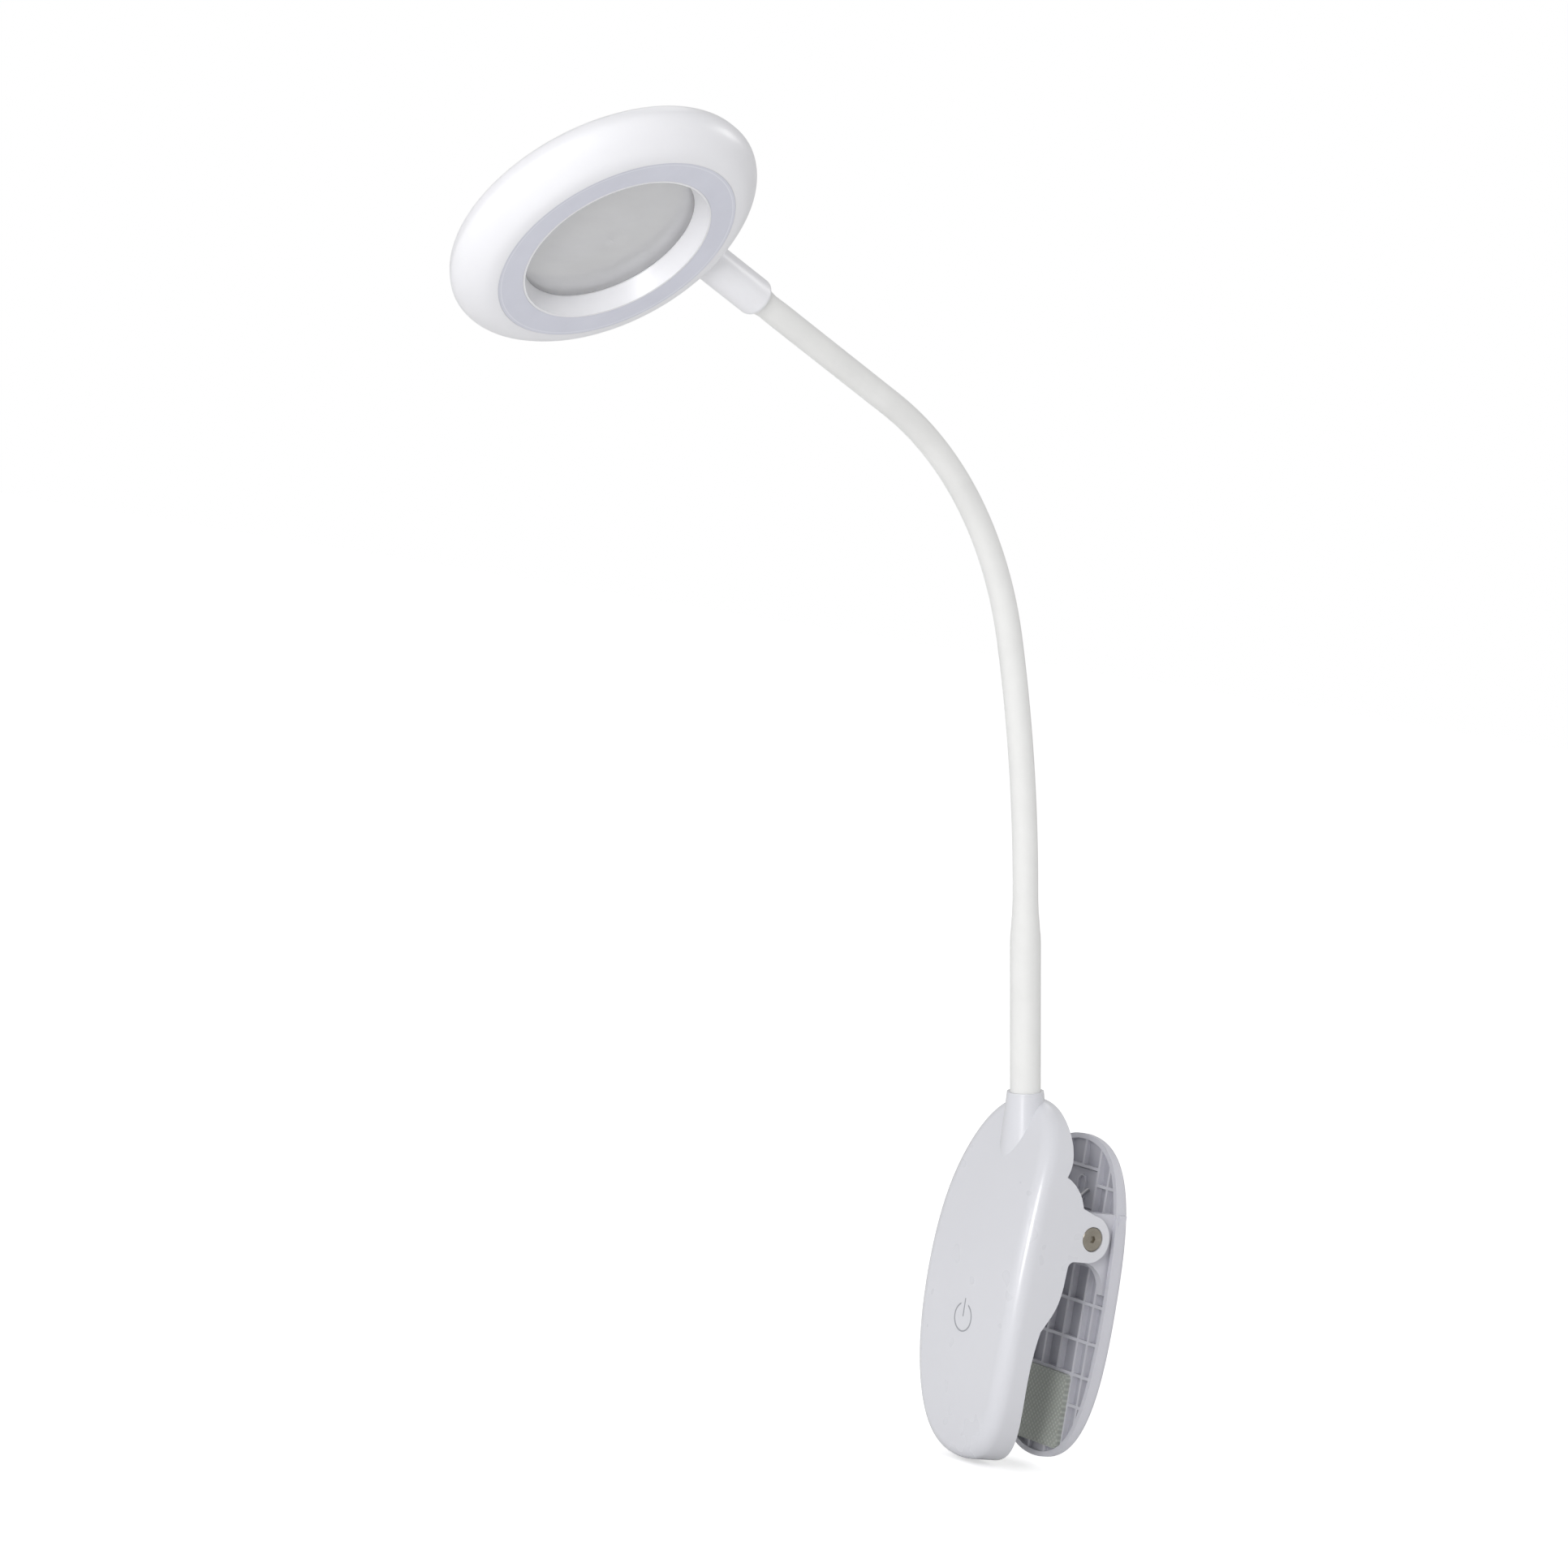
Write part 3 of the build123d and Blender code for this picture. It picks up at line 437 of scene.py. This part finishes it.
board_mask = circuit_board("board_mask", (0.70, 0.72, 0.68), (0.82, 0.80, 0.66))
led_phosphor = moulded_plastic(
    "led_phosphor", (0.88, 0.72, 0.30), roughness=0.4, grain=0.3, grain_depth=0.02
)

dress(clip_white, "front_shell")
dress(head_white_painted_light, "head_lower_shell", "head_top_cover")
dress(cover_white, "front_inner_cover", "neck_clamp")
dress(matte_white, "rear_jaw", "spring_seat", "lens_retaining_ring")
dress(grip_rubber, "front_grip_pad", "rear_grip_pad")
dress(nickel, "hinge_pin", "hinge_pin_cap")
dress(steel, "cover_screws", "head_screws", "charging_socket", "neck_ferrule", "neck_base_core")
dress(steel, *[f"neck_core_{number}" for number in range(1, BEND_COUNT + 1)])
dress(copper, "touch_electrode")
dress(foil, "battery")
dress(grey_print, "power_symbol")
dress(board_mask, "control_board", "led_board")
dress(led_phosphor, "led_chips")
dress(frosted_ring("frosted_light_ring", ring_centre, ring_axis), "diffuser_ring")
dress(lens_acrylic("lens_acrylic"), "magnifier_lens")


# ================= neck sleeve =================


def neck_line():
    """Return the neck's centre line as (distance, point, direction) per step, and the bends' axis."""
    hinge_1 = JOINTS["neck_bend_1"]
    bend_axis = Vector(hinge_1["axis"]).normalized()
    upright = Vector((0, -math.sin(math.radians(NECK_LEAN)), math.cos(math.radians(NECK_LEAN))))
    gentle_end = STRAIGHT_LENGTH + GENTLE_RADIUS * math.radians(GENTLE_ANGLE)
    tight_end = gentle_end + TIGHT_RADIUS * math.radians(TIGHT_ANGLE)

    def heading(distance):
        gentle = min(max(distance - STRAIGHT_LENGTH, 0), gentle_end - STRAIGHT_LENGTH) / GENTLE_RADIUS
        tight = min(max(distance - gentle_end, 0), tight_end - gentle_end) / TIGHT_RADIUS
        return Quaternion(bend_axis, gentle + tight) @ upright

    stations = []
    point = Vector((0, 0, 0))
    distance = NECK_START
    while distance <= STEM_MOUTH + TOLERANCE:
        stations.append((distance, point.copy(), heading(distance)))
        point += heading(distance + STATION_STEP / 2) * STATION_STEP * MM
        distance += STATION_STEP
    at_hinge = [place for away, place, _ in stations if abs(away - FIRST_BEND) < TOLERANCE][0]
    shift = Vector(hinge_1["pos_m"]) - at_hinge
    return [(away, place + shift, along) for away, place, along in stations], bend_axis


def sleeve_radius(distance):
    """Outer radius of the sleeve in millimetres, this far above the collar."""
    for (low, low_radius), (high, high_radius) in zip(SLEEVE_RADII, SLEEVE_RADII[1:]):
        if distance <= high:
            share = (distance - low) / (high - low)
            smooth = share * share * (3 - 2 * share)
            return low_radius + (high_radius - low_radius) * smooth
    return SLEEVE_RADII[-1][1]


def sleeve_piece(name, stations, bend_axis, sides=48):
    """Build a closed tube round a stretch of the centre line, with its bore."""
    mesh = bpy.data.meshes.new(name)
    work = bmesh.new()
    rings = []
    for outside in (True, False):
        for distance, place, along in stations:
            across = bend_axis.cross(along).normalized()
            radius = (sleeve_radius(distance) if outside else SLEEVE_BORE) * MM
            ring = []
            for side in range(sides):
                angle = 2 * math.pi * side / sides
                spoke = bend_axis * math.cos(angle) + across * math.sin(angle)
                ring.append(work.verts.new(place + radius * spoke))
            rings.append(ring)
    count = len(stations)
    outer, inner = rings[:count], rings[count:]

    def wall(first, second, smooth):
        for side in range(sides):
            after = (side + 1) % sides
            face = work.faces.new((first[side], first[after], second[after], second[side]))
            face.smooth = smooth

    for first, second in zip(outer, outer[1:]):
        wall(first, second, True)
    for first, second in zip(inner, inner[1:]):
        wall(second, first, True)
    wall(inner[0], outer[0], False)
    wall(outer[-1], inner[-1], False)
    rims = {vertex for ring in (outer[0], outer[-1], inner[0], inner[-1]) for vertex in ring}
    for edge in work.edges:
        if edge.verts[0] in rims and edge.verts[1] in rims:
            edge.smooth = False
    bmesh.ops.recalc_face_normals(work, faces=work.faces)
    work.to_mesh(mesh)
    work.free()
    piece = bpy.data.objects.new(name, mesh)
    bpy.context.scene.collection.objects.link(piece)
    return piece


def build_neck_sleeve():
    """Build the sleeve as one smooth piece per bend; neighbours meet halfway between two bends."""
    line, bend_axis = neck_line()
    bends = [FIRST_BEND + BEND_SPACING * number for number in range(BEND_COUNT)]
    borders = [NECK_START] + [bend + BEND_SPACING / 2 for bend in bends[:-1]] + [STEM_MOUTH]
    for number, bend in enumerate(bends, 1):
        stations = [station for station in line if borders[number - 1] <= station[0] <= borders[number]]
        piece = sleeve_piece(f"gooseneck_sleeve_{number}", stations, bend_axis)
        piece.data.materials.append(sleeve_silicone)
        cad_pieces = [f"neck_sleeve_{number}"]
        if number == 1:
            cad_pieces.append("neck_base_sleeve")
        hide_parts(*cad_pieces)
        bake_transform(piece)


build_neck_sleeve()


# ================= spring =================


def build_spring():
    """Copy the torsion spring as its own piece in spring steel and hide the CAD spring."""
    piece = NODES["torsion_spring"].copy()
    piece.data = piece.data.copy()
    piece.name = "wound_spring"
    piece.parent = None
    piece.matrix_world = Matrix.Identity(4)
    bpy.context.scene.collection.objects.link(piece)
    piece.data.materials.clear()
    piece.data.materials.append(spring_steel)
    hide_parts("torsion_spring")
    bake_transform(piece)


build_spring()


# ================= floor, light and camera =================


def build_floor():
    """A wide pale floor just under the clip."""
    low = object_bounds()[0]
    mesh = bpy.data.meshes.new("floor")
    work = bmesh.new()
    bmesh.ops.create_circle(work, cap_ends=True, segments=96, radius=FLOOR_RADIUS)
    work.to_mesh(mesh)
    work.free()
    floor = bpy.data.objects.new("floor", mesh)
    floor.location = (0, 0, low[2] - FLOOR_GAP)
    material, tree, shader, place = new_material("studio_floor")
    shade = spread(tree, noise(tree, place, size=900, detail=1), 0, 1)
    tree.links.new(blend_colours(tree, shade, FLOOR_DARK, FLOOR_LIGHT), shader.inputs["Base Color"])
    shader.inputs["Roughness"].default_value = 0.9
    shader.inputs["Specular IOR Level"].default_value = 0.0
    shader.inputs["Emission Color"].default_value = (1, 1, 1, 1)
    seen = tree.nodes.new("ShaderNodeLightPath").outputs["Is Camera Ray"]
    tree.links.new(ramp(tree, seen, 0, 1, 0, FLOOR_GLOW), shader.inputs["Emission Strength"])
    mesh.materials.append(material)
    bpy.context.scene.collection.objects.link(floor)


def add_area_light(name, place, target, width, height, power):
    """Add a soft box light that faces a point."""
    light = bpy.data.lights.new(name, "AREA")
    light.shape = "RECTANGLE"
    light.size = width
    light.size_y = height
    light.energy = power
    holder = bpy.data.objects.new(name, light)
    holder.location = place
    holder.rotation_euler = (Vector(target) - Vector(place)).to_track_quat("-Z", "Y").to_euler()
    bpy.context.scene.collection.objects.link(holder)


def light_studio():
    """White surroundings, a tall strip light for the clip's bright edge, and four weaker soft lights."""
    world = bpy.data.worlds.new("studio")
    bpy.context.scene.world = world
    world.use_nodes = True
    tree = world.node_tree
    background = tree.nodes["Background"]
    background.inputs["Color"].default_value = (1, 1, 1, 1)
    seen = tree.nodes.new("ShaderNodeLightPath").outputs["Is Camera Ray"]
    tree.links.new(ramp(tree, seen, 0, 1, SKY_LIGHT, 1.0), background.inputs["Strength"])
    for name, place, width, height, power in SOFT_LIGHTS:
        add_area_light(name, place, LIGHT_TARGET, width, height, power)
    bpy.context.scene.view_settings.view_transform = "Standard"


def place_camera():
    """Look from the clip's front right, almost level, with the camera rolled as the object is shown."""
    azimuth = math.radians(CAMERA_AZIMUTH)
    elevation = math.radians(CAMERA_ELEVATION)
    roll = math.radians(CAMERA_ROLL)
    back = Vector((
        math.sin(azimuth) * math.cos(elevation),
        -math.cos(azimuth) * math.cos(elevation),
        math.sin(elevation),
    ))
    right = Vector((0, 0, 1)).cross(back).normalized()
    up = back.cross(right)
    rolled_right = right * math.cos(roll) + up * math.sin(roll)
    rolled_up = back.cross(rolled_right)
    data = bpy.data.cameras.new("camera")
    data.sensor_fit = "HORIZONTAL"
    data.angle = math.radians(CAMERA_ANGLE)
    data.clip_end = 100
    camera = bpy.data.objects.new("camera", data)
    rotation = Matrix((rolled_right, rolled_up, back)).transposed()
    camera.matrix_world = Matrix.Translation(Vector(CAMERA_PLACE)) @ rotation.to_4x4()
    bpy.context.scene.collection.objects.link(camera)
    bpy.context.scene.camera = camera


build_floor()
light_studio()
place_camera()

bpy.context.view_layer.update()
